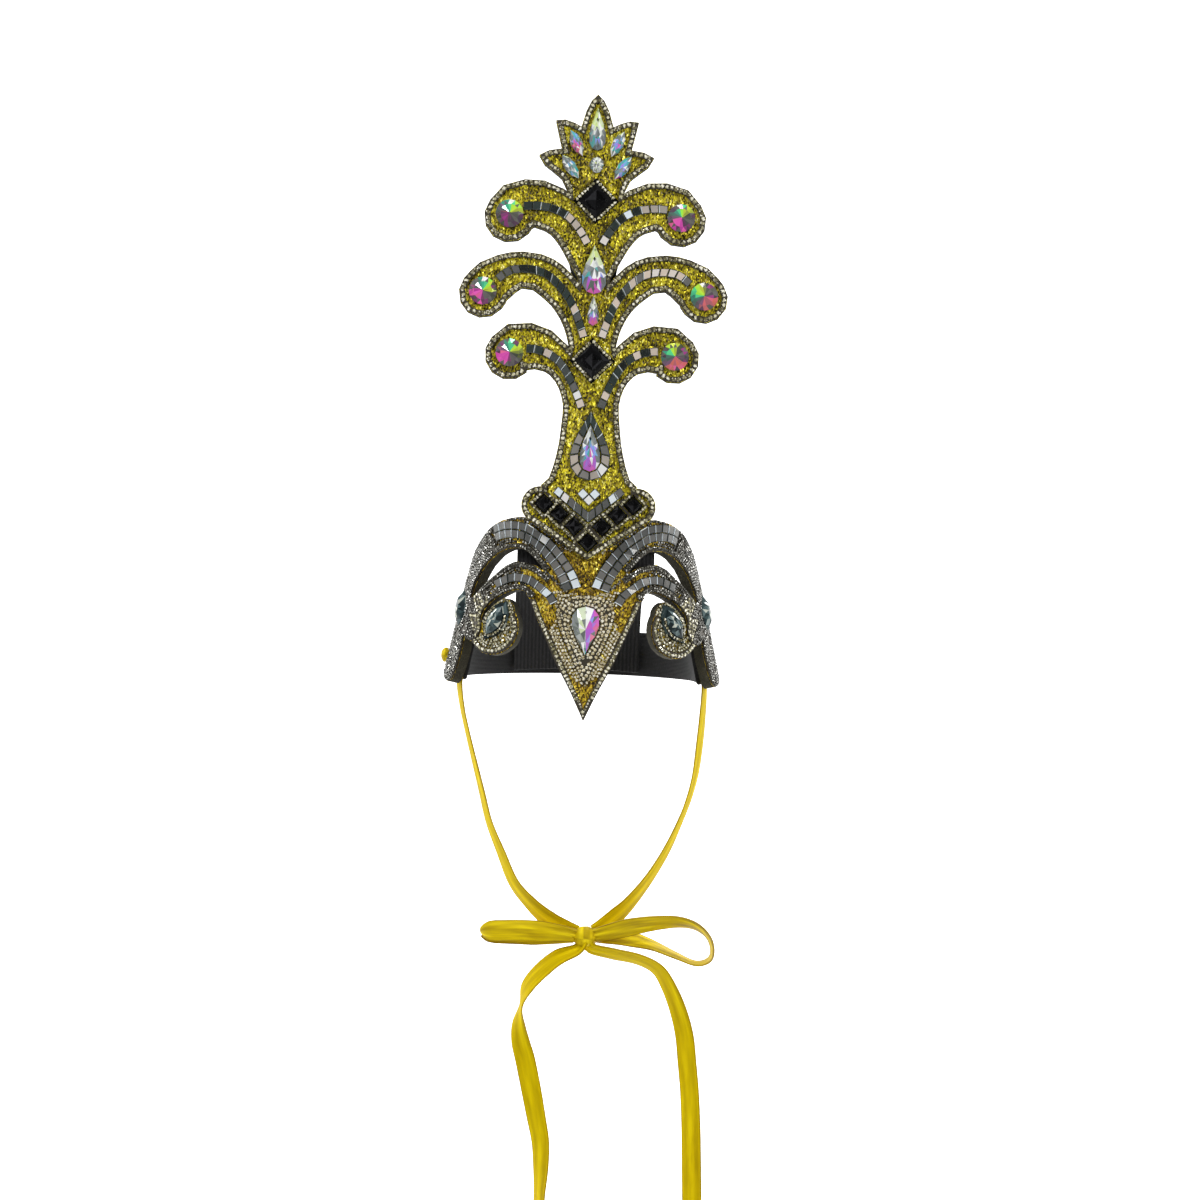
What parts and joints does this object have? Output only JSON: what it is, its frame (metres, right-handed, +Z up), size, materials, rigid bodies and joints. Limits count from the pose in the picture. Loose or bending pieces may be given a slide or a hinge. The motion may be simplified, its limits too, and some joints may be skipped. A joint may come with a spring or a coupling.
{
  "type": "carnival headdress",
  "caption": "Foam helmet front with scrolled arms and a tall flat spire, covered with glitter cloth, cut stones, mirror tiles and rhinestones, tied on with a satin ribbon and bow.",
  "frame": {"origin": "Middle of the head opening, at the height of the side bands' lower edge, where the headdress sits on a head.", "axes": "+Z up, -Y is the front that carries the shield and the spire, +X is to the right as seen from the front."},
  "size_m": [0.166, 0.207, 0.647],
  "materials": {
    "glitter_cloth": "glossy",
    "dark_foam": "matte",
    "black_strap": "matte",
    "rhinestone": "polished",
    "mirror_tile": "polished",
    "rainbow_stone": "polished",
    "black_stone": "polished",
    "teal_stone": "polished",
    "satin_ribbon": "satin"
  },
  "bodies": {
    "root": {"helmet_shell": "dark_foam", "spire_plate": "glitter_cloth", "spire_backing": "dark_foam", "crown_strap": "black_strap", "back_band": "black_strap", "spire_border_chain": "rhinestone", "helmet_chain_left": "rhinestone", "helmet_chain_right": "rhinestone", "shield_edge_chain": "rhinestone", "shield_field": "rhinestone", "chevron_frames": "rhinestone", "top_frond_tiles_left": "mirror_tile", "top_frond_tiles_right": "mirror_tile", "middle_frond_tiles_left": "mirror_tile", "middle_frond_tiles_right": "mirror_tile", "bottom_frond_tiles_left": "mirror_tile", "bottom_frond_tiles_right": "mirror_tile", "upper_arm_tiles_left": "mirror_tile", "upper_arm_tiles_right": "mirror_tile", "lower_arm_tiles_left": "mirror_tile", "lower_arm_tiles_right": "mirror_tile", "chevron_tiles": "mirror_tile", "chevron_small_tiles": "mirror_tile", "neck_tiles": "mirror_tile", "top_frond_stone_left": "rainbow_stone", "top_frond_stone_right": "rainbow_stone", "middle_frond_stone_left": "rainbow_stone", "middle_frond_stone_right": "rainbow_stone", "bottom_frond_stone_left": "rainbow_stone", "bottom_frond_stone_right": "rainbow_stone", "palmette_drop": "rainbow_stone", "palmette_upper_navette_left": "rainbow_stone", "palmette_upper_navette_right": "rainbow_stone", "palmette_lower_navette_left": "rainbow_stone", "palmette_lower_navette_right": "rainbow_stone", "palmette_oval": "rainbow_stone", "stem_diamond_upper": "black_stone", "stem_diamond_lower": "black_stone", "stem_drop": "rainbow_stone", "stem_slim_drop": "rainbow_stone", "neck_drop": "rainbow_stone", "black_square_1": "black_stone", "black_square_2": "black_stone", "black_square_3": "black_stone", "black_square_4": "black_stone", "black_square_5": "black_stone", "black_square_6": "black_stone", "black_square_7": "black_stone", "shield_drop": "rainbow_stone", "volute_stone_left": "teal_stone", "volute_stone_right": "teal_stone", "side_stone_left": "teal_stone", "side_stone_right": "teal_stone", "ribbon_left": "satin_ribbon", "ribbon_right": "satin_ribbon", "bow": "satin_ribbon", "ribbon_tail_left": "satin_ribbon", "ribbon_tail_right": "satin_ribbon", "ribbon_end_knot": "satin_ribbon"}
  },
  "joints": []
}
